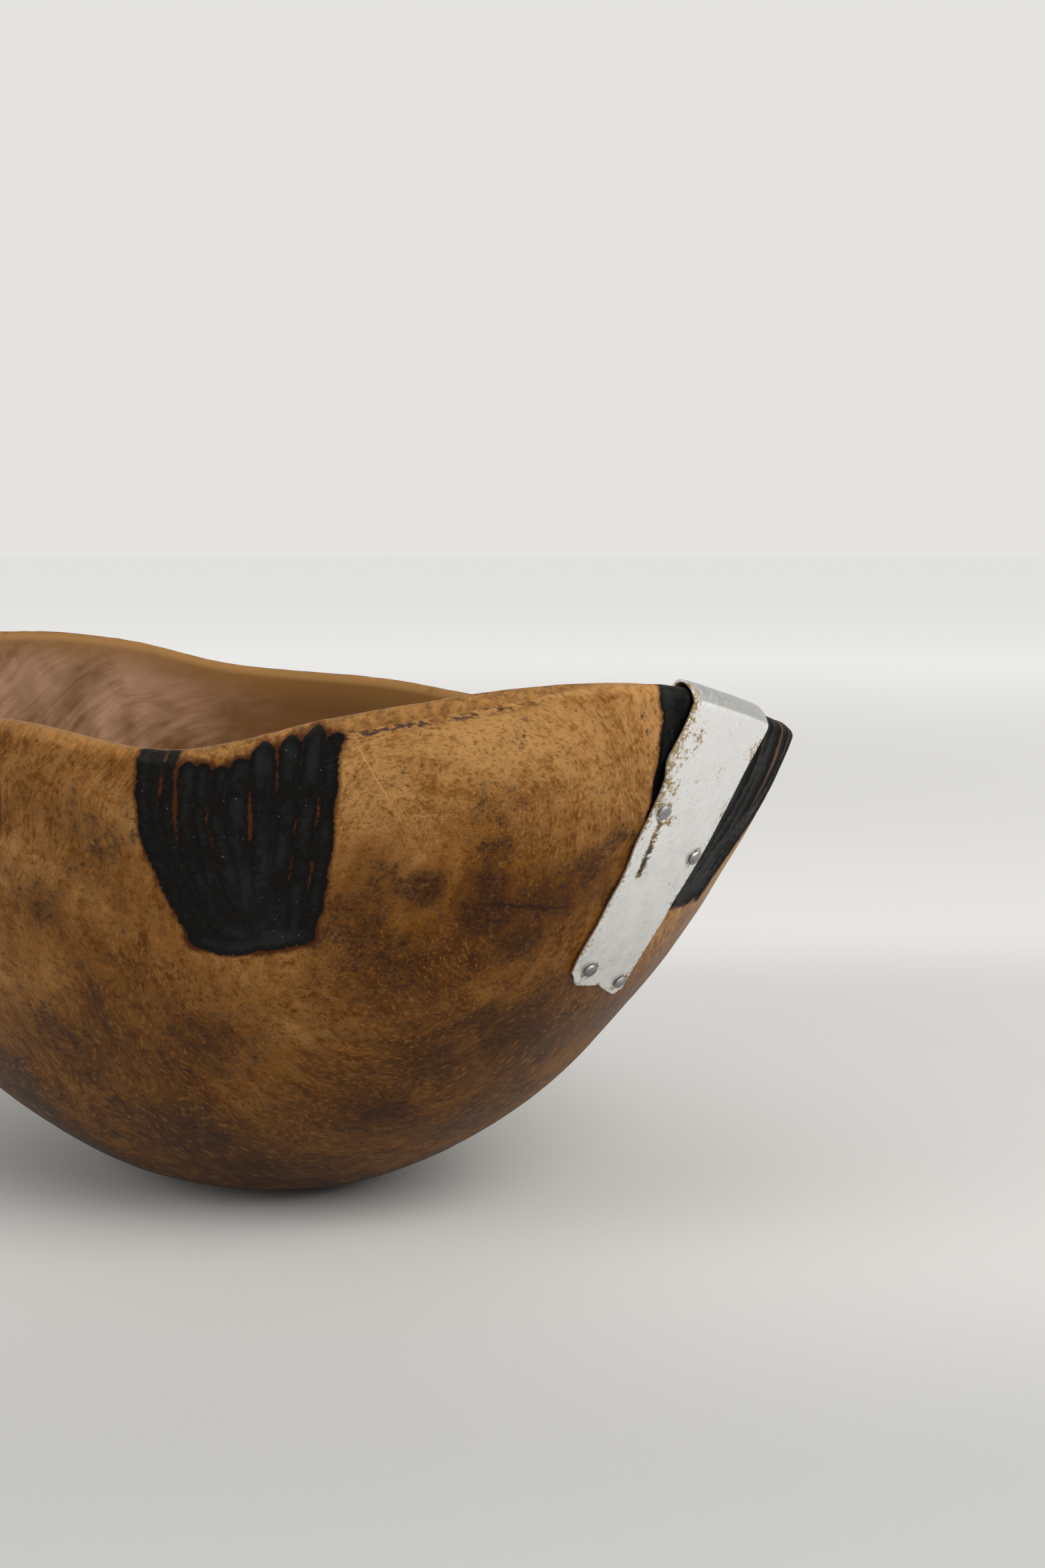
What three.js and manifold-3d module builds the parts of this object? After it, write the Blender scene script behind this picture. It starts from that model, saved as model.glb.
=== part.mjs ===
// A hand-carved wooden milk bowl, round-bottomed and drawn oval by drying, with a cracked end
// held together by a strip of sheet aluminium that is folded over the rim and riveted through.
//
// Millimetres, +Z up. The origin is the middle of the small worn foot, on the surface the bowl
// stands on. +X runs along the long axis of the mouth, towards the repaired end.
// The pieces are the bowl, the strap and four rivets.

import * as THREE from 'three';
import { mergeVertices } from 'three/addons/utils/BufferGeometryUtils.js';
import Module from 'manifold-3d';

const wasm = await Module();
wasm.setup();

// ---------------------------------------------------------------- driving dimensions

const LENGTH_STRETCH = 1.13; // the mouth's long half-axis over the mean radius
const WIDTH_STRETCH = 0.87; // the short one

// The outside of the bowl, as mean radius at height.
const OUTER_PROFILE = [
  [0, 18], [2, 28.5], [7, 44], [18, 63], [34, 83.5], [52, 99.5], [72, 114.5], [92, 126], [130, 142.5],
  [165, 150.5],
];

// The height of the wavy rim, by angle from +X in degrees.
const RIM_HEIGHTS = [
  [12, 137], [38, 130], [68, 122.5], [100, 132], [132, 139.5], [160, 152], [186, 150], [212, 146],
  [240, 141.5], [268, 138.5], [286, 140.5], [302, 134.5], [318, 143], [336, 148.5], [356, 146],
];

const RIM_WALL = 6.2; // wall thickness at the rim
const FLOOR_WALL = 11; // wall thickness at the foot
const THINNED_BY = 0.7; // the fraction of the rim's height at which the wall is down to RIM_WALL
const LIP = 2.6; // how far the rounded lip rises past the straight wall

const SHEET = 0.8; // the strap's thickness
const SEAT = 0.5; // how far the strap stands off the wood
const FOLD_RISE = [2, 0.6]; // how far the fold stands proud of the lip, at its left and right edge
const STRAP_LEFT = -16.5; // the strap's straight edge, as Y
// Its other edge, as Y by fraction of the way from the fold to the end of a leg.
const STRAP_RIGHT = [[0, 21], [0.14, 15.5], [0.3, 12.5], [0.5, 9.8], [0.7, 6.5], [0.87, 5.2], [1, 6.5]];
const OUTER_END = [75.5, 68]; // the height of the outer leg's end, at its left and right edge
const INNER_END = [70, 64]; // and of the inner leg's

const RIVETS = [
  { y: -13.6, height: 118.5 },
  { y: 6.6, height: 105 },
  { y: -13, height: 78 },
  { y: 2.6, height: 72.5 },
];
const HEAD_RADIUS = 1.9;
const HEAD_HEIGHT = 1;
const SHANK_RADIUS = 1;
const INNER_HEAD_HEIGHT = 0.7; // the hammered end, inside the bowl
const CLEARANCE = 0.3; // between a rivet and what it passes through or holds
const HOLE_OVERRUN = 4; // how much longer a drilled hole's cutter is than the rivet's grip

// How finely the curved pieces are divided.
const AROUND = 72;
const RINGS = 15;
const RING_CROWDING = 1.5; // how much closer together the rings are near the foot
const LIP_STEPS = 5;
const STRAP_ACROSS = 8;
const LEG_STEPS = 10;
const FOLD_STEPS = 8;
const RIVET_SIDES = 16;
const DOME_STEPS = 4;

// ---------------------------------------------------------------- the bowl's surfaces

// A smooth curve through [x, y] points, read at x.
function smooth(points, x) {
  const last = points.length - 2;
  let i = 0;
  while (i < last && x > points[i + 1][0]) i += 1;
  const slope = (a, b) => (points[b][1] - points[a][1]) / (points[b][0] - points[a][0]);
  const startSlope = slope(Math.max(i - 1, 0), i + 1);
  const endSlope = slope(i, Math.min(i + 2, last + 1));
  const width = points[i + 1][0] - points[i][0];
  const t = (x - points[i][0]) / width;
  const t2 = t * t;
  const t3 = t2 * t;
  return (
    (2 * t3 - 3 * t2 + 1) * points[i][1] +
    (t3 - 2 * t2 + t) * width * startSlope +
    (3 * t2 - 2 * t3) * points[i + 1][1] +
    (t3 - t2) * width * endSlope
  );
}

// The rim's points again on both sides of one turn, so that the curve closes on itself.
const RIM_TURN = [-360, 0, 360].flatMap((turn) => (
  RIM_HEIGHTS.map(([angle, height]) => [angle + turn, height])
));

function rimHeight(angle) {
  return smooth(RIM_TURN, THREE.MathUtils.radToDeg(angle));
}

function outerPoint(angle, height) {
  const radius = smooth(OUTER_PROFILE, height);
  return new THREE.Vector3(
    LENGTH_STRETCH * radius * Math.cos(angle),
    WIDTH_STRETCH * radius * Math.sin(angle),
    height,
  );
}

// The outside's outward normal, and the direction that climbs the wall.
function wallFrame(angle, height) {
  const step = 0.5;
  const low = Math.max(height - step, 0);
  const climb = outerPoint(angle, height + step).sub(outerPoint(angle, low)).normalize();
  const round = outerPoint(angle + 0.01, height).sub(outerPoint(angle - 0.01, height)).normalize();
  const normal = new THREE.Vector3().crossVectors(round, climb).normalize();
  return { climb, normal };
}

// The wall thins from the foot up, and keeps the rim's thickness over its top stretch.
function wallThickness(angle, height) {
  const climbed = height / (rimHeight(angle) * THINNED_BY);
  return THREE.MathUtils.lerp(FLOOR_WALL, RIM_WALL, Math.min(climbed, 1));
}

// A point of the wall: off is the distance outside the outer surface, so -thickness is the inside.
function wallPoint(angle, height, off) {
  return outerPoint(angle, height).addScaledVector(wallFrame(angle, height).normal, off);
}

// The height at which the straight wall ends, so that the lip's crest comes out at the rim's height.
function shoulderHeight(angle) {
  const top = rimHeight(angle);
  const { climb, normal } = wallFrame(angle, top - LIP);
  return top - LIP * climb.z + (RIM_WALL / 2) * normal.z;
}

// A point of the half-round lip. turn runs from 0, outside, to PI, inside; off swells it outwards.
function lipPoint(angle, turn, off, rise) {
  const height = shoulderHeight(angle);
  const { climb, normal } = wallFrame(angle, height);
  return outerPoint(angle, height)
    .addScaledVector(normal, (RIM_WALL / 2 + off) * Math.cos(turn) - RIM_WALL / 2)
    .addScaledVector(climb, (LIP + off + rise) * Math.sin(turn));
}

// ---------------------------------------------------------------- meshes and solids

function geometryOf(points, triangles) {
  const geometry = new THREE.BufferGeometry();
  const numbers = points.flatMap((point) => point.toArray());
  geometry.setAttribute('position', new THREE.Float32BufferAttribute(numbers, 3));
  geometry.setIndex(triangles.flat());
  return geometry;
}

// The two triangles of each cell of a grid of points that is stored row by row.
function gridTriangles(rows, columns, wrap) {
  const triangles = [];
  const cells = wrap ? columns : columns - 1;
  for (let row = 0; row < rows - 1; row += 1) {
    for (let column = 0; column < cells; column += 1) {
      const next = (column + 1) % columns;
      const a = row * columns + column;
      const b = row * columns + next;
      const c = (row + 1) * columns + next;
      const d = (row + 1) * columns + column;
      triangles.push([a, b, c], [a, c, d]);
    }
  }
  return triangles;
}

function solidOf(geometry) {
  const bare = geometry.clone();
  bare.deleteAttribute('normal');
  bare.deleteAttribute('uv');
  const merged = mergeVertices(bare, 1e-5);
  return new wasm.Manifold(new wasm.Mesh({
    numProp: 3,
    vertProperties: new Float32Array(merged.attributes.position.array),
    triVerts: new Uint32Array(merged.index.array),
  }));
}

function geometryOfSolid(solid) {
  const mesh = solid.getMesh();
  const geometry = new THREE.BufferGeometry();
  geometry.setAttribute('position', new THREE.BufferAttribute(mesh.vertProperties, 3));
  geometry.setIndex(new THREE.BufferAttribute(mesh.triVerts, 1));
  return geometry;
}

// ---------------------------------------------------------------- the pieces

// Rings climb the outside from the foot, go over the lip and come down the inside.
function bowlGeometry() {
  const points = [];
  const ring = (place) => {
    for (let i = 0; i < AROUND; i += 1) points.push(place((i / AROUND) * 2 * Math.PI));
  };
  const ringHeight = (angle, step) => shoulderHeight(angle) * (step / RINGS) ** RING_CROWDING;
  for (let step = 0; step <= RINGS; step += 1) {
    ring((angle) => outerPoint(angle, ringHeight(angle, step)));
  }
  for (let step = 1; step < LIP_STEPS; step += 1) {
    ring((angle) => lipPoint(angle, (Math.PI * step) / LIP_STEPS, 0, 0));
  }
  for (let step = RINGS; step >= 2; step -= 1) {
    ring((angle) => {
      const height = ringHeight(angle, step);
      return wallPoint(angle, height, -wallThickness(angle, height));
    });
  }
  const rows = points.length / AROUND;
  const triangles = gridTriangles(rows, AROUND, true);
  const foot = points.length;
  const floor = foot + 1;
  points.push(new THREE.Vector3(0, 0, 0), new THREE.Vector3(0, 0, FLOOR_WALL));
  const lastRow = (rows - 1) * AROUND;
  for (let i = 0; i < AROUND; i += 1) {
    const next = (i + 1) % AROUND;
    triangles.push([foot, next, i], [floor, lastRow + i, lastRow + next]);
  }
  return geometryOf(points, triangles);
}

// The angle at which the outside reaches a given Y at a given height.
function angleAt(y, height) {
  return Math.asin(y / (WIDTH_STRETCH * smooth(OUTER_PROFILE, height)));
}

// The strap is a sheet: one grid of points on its wood side, one on its bare side, and its edges.
function strapGeometry() {
  const { lerp } = THREE.MathUtils;
  const foldAngle = (across) => angleAt(lerp(STRAP_LEFT, STRAP_RIGHT[0][1], across), rimHeight(0));
  const legPoint = (across, along, ends, inside, off) => {
    const end = lerp(ends[0], ends[1], across);
    const height = lerp(shoulderHeight(foldAngle(across)), end, along);
    const angle = angleAt(lerp(STRAP_LEFT, smooth(STRAP_RIGHT, along), across), height);
    return wallPoint(angle, height, inside ? -wallThickness(angle, height) - off : off);
  };
  // Up the outer leg, over the fold and down the inner leg.
  const sheetRow = (across, off) => {
    const row = [];
    for (let step = LEG_STEPS; step >= 1; step -= 1) {
      row.push(legPoint(across, step / LEG_STEPS, OUTER_END, false, off));
    }
    const rise = lerp(FOLD_RISE[0], FOLD_RISE[1], across);
    for (let step = 0; step <= FOLD_STEPS; step += 1) {
      row.push(lipPoint(foldAngle(across), (Math.PI * step) / FOLD_STEPS, off, rise));
    }
    for (let step = 1; step <= LEG_STEPS; step += 1) {
      row.push(legPoint(across, step / LEG_STEPS, INNER_END, true, off));
    }
    return row;
  };
  const points = [];
  for (const off of [SEAT + SHEET, SEAT]) {
    for (let i = STRAP_ACROSS; i >= 0; i -= 1) points.push(...sheetRow(i / STRAP_ACROSS, off));
  }
  const rows = STRAP_ACROSS + 1;
  const columns = points.length / rows / 2;
  const bare = gridTriangles(rows, columns, false);
  const wood = bare.map(([a, b, c]) => [a + rows * columns, c + rows * columns, b + rows * columns]);
  const edges = [];
  const edge = (a, b) => {
    const under = rows * columns;
    edges.push([b, a, a + under], [b, a + under, b + under]);
  };
  for (let i = 0; i < columns - 1; i += 1) {
    edge(i, i + 1);
    edge((rows - 1) * columns + i + 1, (rows - 1) * columns + i);
  }
  for (let i = 0; i < rows - 1; i += 1) {
    edge((i + 1) * columns, i * columns);
    edge(i * columns + columns - 1, (i + 1) * columns + columns - 1);
  }
  return geometryOf(points, [...bare, ...wood, ...edges]);
}

// Where a rivet goes: its middle is halfway through the wall, and it points out along the normal.
function rivetPlace({ y, height }) {
  const angle = angleAt(y, height);
  const { normal } = wallFrame(angle, height);
  const half = wallThickness(angle, height) / 2;
  const middle = outerPoint(angle, height).addScaledVector(normal, -half);
  const turn = new THREE.Quaternion().setFromUnitVectors(new THREE.Vector3(0, 1, 0), normal);
  return { middle, turn, grip: half + SEAT + SHEET + CLEARANCE };
}

// A domed head outside, a plain shank, and a flatter hammered head inside.
function rivetGeometry(grip) {
  const dome = (seat, height) => {
    const points = [];
    for (let step = 0; step <= DOME_STEPS; step += 1) {
      const turn = (Math.PI / 2) * (step / DOME_STEPS);
      points.push(new THREE.Vector2(HEAD_RADIUS * Math.sin(turn), seat + height * Math.cos(turn)));
    }
    points[0].x = 0;
    points[DOME_STEPS].y = seat;
    return points;
  };
  return new THREE.LatheGeometry([
    ...dome(-grip, -INNER_HEAD_HEIGHT),
    new THREE.Vector2(SHANK_RADIUS, -grip),
    new THREE.Vector2(SHANK_RADIUS, grip),
    ...dome(grip, HEAD_HEIGHT).reverse(),
  ], RIVET_SIDES);
}

function rivetHole({ middle, turn, grip }) {
  const radius = SHANK_RADIUS + CLEARANCE;
  const hole = new THREE.CylinderGeometry(radius, radius, grip * 2 + HOLE_OVERRUN, RIVET_SIDES);
  hole.applyQuaternion(turn);
  hole.translate(middle.x, middle.y, middle.z);
  return solidOf(hole);
}

// ---------------------------------------------------------------- materials and assembly

const carvedWood = new THREE.MeshStandardMaterial({ color: 0x8a5a30, roughness: 0.5, metalness: 0 });
const sheetAluminium = new THREE.MeshStandardMaterial({ color: 0xc3c4c2, roughness: 0.38, metalness: 1 });
const rivetAluminium = new THREE.MeshStandardMaterial({ color: 0x8f9192, roughness: 0.45, metalness: 1 });

const bowl = new THREE.Group();
const places = RIVETS.map(rivetPlace);
const holes = places.map(rivetHole).reduce((all, hole) => all.add(hole));

const drilled = [
  ['bowl_body', bowlGeometry(), carvedWood],
  ['repair_strap', strapGeometry(), sheetAluminium],
];
for (const [name, geometry, material] of drilled) {
  const mesh = new THREE.Mesh(geometryOfSolid(solidOf(geometry).subtract(holes)), material);
  mesh.name = name;
  bowl.add(mesh);
}

places.forEach(({ middle, turn, grip }, index) => {
  const rivet = new THREE.Mesh(rivetGeometry(grip), rivetAluminium);
  rivet.name = `rivet_${index + 1}`;
  rivet.position.copy(middle);
  rivet.quaternion.copy(turn);
  bowl.add(rivet);
});

export default bowl;
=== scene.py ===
"""Looks of the carved wooden bowl: the bowl with its burnt patches, the riveted strap, and a studio.

Shapes are worked out in millimetres, in the CAD frame: the origin is the middle of the foot, +Z is up
and +X runs along the long axis of the mouth towards the strap. Meshes are made in metres.
"""
import math

import bpy
import numpy as np
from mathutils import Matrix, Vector, noise


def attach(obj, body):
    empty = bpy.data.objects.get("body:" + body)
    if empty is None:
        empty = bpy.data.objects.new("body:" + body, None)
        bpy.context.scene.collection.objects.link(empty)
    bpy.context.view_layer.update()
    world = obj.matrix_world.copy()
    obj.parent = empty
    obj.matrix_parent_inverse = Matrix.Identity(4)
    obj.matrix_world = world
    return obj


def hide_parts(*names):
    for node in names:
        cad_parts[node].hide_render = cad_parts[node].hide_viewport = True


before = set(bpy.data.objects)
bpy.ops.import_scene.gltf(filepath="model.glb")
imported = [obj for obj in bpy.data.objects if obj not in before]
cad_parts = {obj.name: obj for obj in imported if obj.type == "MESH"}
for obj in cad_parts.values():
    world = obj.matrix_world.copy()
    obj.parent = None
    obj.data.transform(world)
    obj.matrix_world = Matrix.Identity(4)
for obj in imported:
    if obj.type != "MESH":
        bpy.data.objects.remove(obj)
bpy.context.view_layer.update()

MM = 0.001

# ---------------- the bowl's shape, as in the CAD

LENGTH_STRETCH = 1.13
WIDTH_STRETCH = 0.87
OUTER_PROFILE = [
    (0, 18), (2, 28.5), (7, 44), (18, 63), (34, 83.5), (52, 99.5), (72, 114.5), (92, 126), (130, 142.5),
    (165, 150.5),
]
RIM_HEIGHTS = [
    (2, 143.5), (12, 138.8), (38, 131), (68, 122.5), (100, 132.3), (110, 135.6), (132, 140), (146, 148),
    (160, 151.6), (186, 150), (212, 146), (240, 141.5), (268, 138.5), (286, 140.5), (302, 134.5), (318, 143),
    (336, 149), (352, 148),
]
# The same heights a turn lower and a turn higher too, so that the curve closes.
RIM_TURN = [(angle + turn, height) for turn in (-360, 0, 360) for angle, height in RIM_HEIGHTS]
# The wall thins from the floor to the rim over this part of its height; the lip is a half oval on top.
FLOOR_WALL = 11
RIM_WALL = 6.2
THINNED_BY = 0.7
LIP = 2.6


def smooth(points, x):
    """A smooth curve through (x, y) points, read at an array of x."""
    xs = np.array([point[0] for point in points], float)
    ys = np.array([point[1] for point in points], float)
    x = np.asarray(x, float)
    i = np.clip(np.searchsorted(xs, x, side="left") - 1, 0, len(xs) - 2)
    before = np.maximum(i - 1, 0)
    after = np.minimum(i + 2, len(xs) - 1)
    start_slope = (ys[i + 1] - ys[before]) / (xs[i + 1] - xs[before])
    end_slope = (ys[after] - ys[i]) / (xs[after] - xs[i])
    width = xs[i + 1] - xs[i]
    t = (x - xs[i]) / width
    t2 = t * t
    t3 = t2 * t
    return (
        (2 * t3 - 3 * t2 + 1) * ys[i]
        + (t3 - 2 * t2 + t) * width * start_slope
        + (3 * t2 - 2 * t3) * ys[i + 1]
        + (t3 - t2) * width * end_slope
    )


def ease(low, high, x):
    """0 below low, 1 above high and smooth between; low may be above high."""
    t = np.clip((x - low) / (high - low), 0, 1)
    return t * t * (3 - 2 * t)


def rim_height(angle):
    return smooth(RIM_TURN, np.degrees(angle))


def outer_point(angle, height):
    radius = smooth(OUTER_PROFILE, height)
    x = LENGTH_STRETCH * radius * np.cos(angle)
    y = WIDTH_STRETCH * radius * np.sin(angle)
    return np.stack([x, y, height + 0 * angle], -1)


def unit(vectors):
    return vectors / np.linalg.norm(vectors, axis=-1, keepdims=True)


def hump(x, middle, width):
    """A soft bump, 1 at the middle."""
    return np.exp(-((x - middle) / width) ** 2)


def wall_frame(angle, height):
    """The direction that climbs the wall, and the outside's outward normal."""
    step = 0.5
    low = np.maximum(height - step, 0)
    climb = unit(outer_point(angle, height + step) - outer_point(angle, low))
    around = outer_point(angle + 0.01, height) - outer_point(angle - 0.01, height)
    return climb, unit(np.cross(around, climb))


def wall_thickness(angle, height):
    climbed = height / (rim_height(angle) * THINNED_BY)
    return FLOOR_WALL + (RIM_WALL - FLOOR_WALL) * np.minimum(climbed, 1)


def shoulder_height(angle):
    top = rim_height(angle)
    climb, normal = wall_frame(angle, top - LIP)
    return top - LIP * climb[..., 2] + RIM_WALL / 2 * normal[..., 2]


# Distance up the wall at the mean radius, and distance around it at radius 1, both from a fine table.
HEIGHTS = np.linspace(0, 165, 3301)
RADII = smooth(OUTER_PROFILE, HEIGHTS)
CLIMBED = np.concatenate([[0], np.cumsum(np.hypot(np.diff(HEIGHTS), np.diff(RADII)))])
ANGLES = np.radians(np.linspace(-360, 360, 7201))
ROUND_RATE = np.hypot(LENGTH_STRETCH * np.sin(ANGLES), WIDTH_STRETCH * np.cos(ANGLES))
ROUND = np.cumsum(ROUND_RATE) * (ANGLES[1] - ANGLES[0])


def climbed(height):
    return np.interp(height, HEIGHTS, CLIMBED)


def height_at(distance):
    return np.interp(distance, CLIMBED, HEIGHTS)


def across_from(centre, angle, height):
    """Distance around the wall from a centre angle, in millimetres, to the right seen from outside."""
    turn = (angle - centre + math.pi) % (2 * math.pi) - math.pi
    arc = np.interp(centre + turn, ANGLES, ROUND) - np.interp(centre, ANGLES, ROUND)
    return arc * smooth(OUTER_PROFILE, height)


def lumps(points, size, seed):
    """Smooth noise from -1 to 1 at each point, with lumps of about the given size in millimetres."""
    shift = Vector((seed * 17.3, seed * 9.1, seed * 5.7))
    return np.array([noise.noise(Vector(point) / size + shift) for point in points.reshape(-1, 3)])


def noise_line(x, seed):
    return np.array([noise.noise(Vector((float(value), seed * 3.7, 0.5))) for value in x])


# ---------------- the burnt patches

# A patch is a shield of strokes burnt with a hot iron, measured in millimetres down from the rim and
# across from the patch's centre line. A stroke down the wall has its top and bottom, its half-width and
# how far across it is at the top, the quarters and the bottom.
DOWN_STROKES = [
    (0.4, 50, 1.75, (-20.6, -21.7, -19.9, -15.3, -9.6)),
    (0.5, 48, 1.6, (-17.6, -19.4, -18.0, -13.4, -8.0)),
    (1.4, 48, 1.65, (-14.5, -16.3, -15.2, -10.9, -5.4)),
    (5.2, 49, 2.25, (-10.4, -11.7, -10.9, -7.4, -3.0)),
    (5.2, 50, 2.1, (-7.0, -8.3, -7.0, -4.6, -1.2)),
    (6.8, 51, 2.3, (-3.0, -3.8, -2.5, -0.6, 0.8)),
    (7.0, 52, 2.8, (1.8, 0.3, 1.2, 2.4, 3.4)),
    (4.8, 54, 2.7, (6.9, 6.6, 6.0, 6.0, 6.4)),
    (4.7, 55, 2.5, (13.2, 12.0, 10.6, 9.6, 9.6)),
    (3.8, 55, 2.4, (18.6, 16.9, 15.6, 13.8, 13.0)),
    (5.0, 55, 2.05, (22.8, 21.2, 20.3, 18.6, 16.4)),
    (16, 52, 1.6, (9.4, 8.6, 7.8, 7.6, 7.8)),
]

# A stroke along the bottom has its half-width and five points across and down.
BOTTOM_STROKES = [
    (2.5, ((-9.4, 49.0), (-3.8, 52.8), (2.5, 53.8), (8.5, 53.8), (15.0, 54.6))),
    (1.3, ((-9.8, 44.5), (-5.2, 46.8), (0.0, 48.4), (6.0, 49.8), (11.0, 51.0))),
]

# Each patch's centre in degrees, its size, how much it is spread across at the top and at the bottom,
# how much higher up its strokes start, whether it is mirrored, and how much its strokes wander.
PATCHES = [
    (-52.0, 1.0, 1.0, 1.0, 0.0, False, 0.0),
    (7.0, 0.98, 1.66, 1.30, 3.0, True, 0.3),
    (-84.4, 1.0, 1.15, 0.9, 0.0, True, 0.8),
    (56.0, 1.0, 1.05, 0.95, 0.0, False, 0.9),
    (105.0, 1.02, 1.0, 0.95, 0.0, True, 0.9),
    (157.0, 1.05, 1.1, 0.85, 0.0, False, 0.9),
    (208.0, 1.0, 1.05, 0.9, 0.0, True, 0.9),
]
PATCH_LENGTH = 57
PATCH_REACH_ACROSS = 52
PATCH_REACH_DOWN = 74
BURN_DEPTH = 0.85
# Stands for "far from any stroke" in a field of depths.
FAR_OUT = -8.0
# Unless it is seeded, Blender's vector noise depends on the clock, and the strokes would waver differently
# in each run. This seed keeps them as they were in the export that was checked.
STROKE_SEED = 1794853891
noise.seed_set(STROKE_SEED)


def stroke_lines():
    """Every stroke's centre line as points across and down, with the half-width along it."""
    t = np.linspace(0, 1, 25)
    quarters = np.linspace(0, 1, 5)
    lines = []
    for top, bottom, half_width, acrosses in DOWN_STROKES:
        across = smooth(list(zip(quarters, acrosses)), t)
        lines.append((np.stack([across, top + (bottom - top) * t], -1), half_width))
    for half_width, spots in BOTTOM_STROKES:
        across = smooth([(place, spot[0]) for place, spot in zip(quarters, spots)], t)
        down = smooth([(place, spot[1]) for place, spot in zip(quarters, spots)], t)
        lines.append((np.stack([across, down], -1), half_width))
    return lines


def patch_lines(patch, index):
    """The strokes of one patch, sized, spread, mirrored and made to wander."""
    _, size, spread_top, spread_bottom, raised, mirrored, wander = patch
    placed = []
    for number, (line, half_width) in enumerate(stroke_lines()):
        seed = index * 31 + number
        line = line.copy()
        places = 2.0 * np.arange(len(line)) / len(line)
        line[:, 0] += (0.25 + 1.6 * wander) * noise_line(places, seed)
        line[:, 1] += 3.0 * wander * noise.noise(Vector((seed * 5.3, 1.1, 4.0))) + 1.5 * wander
        line[:, 1] -= raised * (1 - np.arange(len(line)) / len(line))
        widen = spread_top + (spread_bottom - spread_top) * line[:, 1] / PATCH_LENGTH
        line[:, 0] *= (-1 if mirrored else 1) * widen
        swell = 1 + 0.20 * noise_line(places * 2.5, seed + 0.4)
        placed.append((line * size, half_width * size * swell * np.maximum(widen, 0.85)))
    return placed


def burn_field(angle, height):
    """How deep inside a burnt stroke a point of the outside is, and the same for its second-nearest
    stroke, in millimetres; negative is outside."""
    field = np.full(angle.shape, FAR_OUT)
    second = field.copy()
    down = climbed(rim_height(angle)) - climbed(height)
    for index, patch in enumerate(PATCHES):
        across = across_from(math.radians(patch[0]), angle, height)
        near = (np.abs(across) < PATCH_REACH_ACROSS) & (down < PATCH_REACH_DOWN)
        spots = np.stack([across[near], down[near]], -1)
        wobble = np.array([
            noise.noise_vector(Vector((spot[0] / 3, spot[1] / 4, index * 11.0))) for spot in spots
        ])
        spots = spots + 0.55 * wobble[:, :2]
        best = np.full(len(spots), FAR_OUT)
        next_best = best.copy()
        for line, width in patch_lines(patch, index):
            gaps = np.linalg.norm(spots[:, None, :] - line[None, :, :], axis=-1)
            depth = (width[None, :] - gaps).max(1)
            next_best = np.maximum(next_best, np.minimum(best, depth))
            best = np.maximum(best, depth)
        field[near] = np.maximum(field[near], best)
        second[near] = np.maximum(second[near], next_best)
    return field, second


# ---------------- marks in the wood

# Dark stains as (angle, height, reach in millimetres, strength).
STAINS = [
    (-33.4, 102.5, 5, 1.15), (-38.5, 106, 9, 0.55), (-26.5, 112, 6, 0.7), (-26.0, 103, 7, 0.75),
    (-25.0, 95, 9, 0.85), (-21.0, 88, 9, 0.7), (-18.5, 98, 10, 0.6), (-14.5, 105, 7, 0.5),
    (-28.0, 120, 7, 0.4), (-24.0, 124, 6, 0.4), (-10.5, 112, 7, 0.5), (-9.5, 98, 6, 0.5),
    (-41.0, 96, 13, 0.65), (-36.0, 84, 15, 0.5), (-15.0, 60, 13, 0.6), (-24.0, 54, 12, 0.55),
    (-20.0, 66, 8, 0.6), (-30.0, 38, 14, 0.6), (-50.0, 16, 20, 0.5), (-60.0, 30, 16, 0.5),
    (-56.0, 62, 12, 0.55), (-66.0, 113, 12, 0.5), (-74.0, 96, 9, 0.45), (-78.0, 60, 14, 0.5),
    (25.0, 70, 16, 0.5), (40.0, 100, 14, 0.4), (80.0, 60, 22, 0.5), (95.0, 104, 12, 0.4),
    (130.0, 80, 18, 0.6), (150.0, 45, 20, 0.5), (180.0, 95, 16, 0.5), (200.0, 60, 20, 0.5),
    (228.0, 100, 14, 0.6), (245.0, 50, 18, 0.5),
]

# Small dents and chips as (angle, height, reach, depth), in millimetres.
DENTS = [
    (-38.0, 60, 2.4, 0.9), (-68.0, 113, 2.6, 0.7), (-64.5, 109, 2.0, 0.7), (-72.0, 118, 1.8, 0.5),
    (-30.0, 84, 3.0, 0.35), (-22.5, 111, 2.6, 0.5), (-26.0, 139, 1.6, 0.4), (-48.0, 40, 3.5, 0.5),
    (34.0, 88, 3.0, 0.6), (74.0, 100, 2.6, 0.7), (120.0, 96, 3.4, 0.6), (171.0, 70, 3.0, 0.6),
    (214.0, 84, 3.2, 0.7), (252.0, 110, 2.8, 0.6),
]


def spot_field(spots, points):
    """The strongest of some round soft spots at each point. Spots are (angle, height, reach, strength)."""
    field = np.zeros(len(points))
    for angle, height, reach, strength in spots:
        middle = outer_point(np.array([math.radians(angle)]), np.array([float(height)]))[0]
        gap = np.linalg.norm(points - middle, axis=-1) / reach
        field = np.maximum(field, strength * np.exp(-gap * gap))
    return field


# ---------------- meshes

def add_object(name, data, place=(0, 0, 0), aim=None):
    """An object in the scene; a lamp or a camera looks along aim."""
    made = bpy.data.objects.new(name, data)
    made.location = place
    if aim is not None:
        made.rotation_euler = aim.to_track_quat("-Z", "Y").to_euler()
    bpy.context.scene.collection.objects.link(made)
    return made


def mesh_object(name, points, faces, material):
    """A smooth-shaded object from points in millimetres and a list or array of faces."""
    mesh = bpy.data.meshes.new(name)
    mesh.from_pydata((np.asarray(points) * MM).tolist(), [], faces)
    mesh.update()
    mesh.polygons.foreach_set("use_smooth", [True] * len(mesh.polygons))
    mesh.materials.append(material)
    return add_object(name, mesh)


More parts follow.
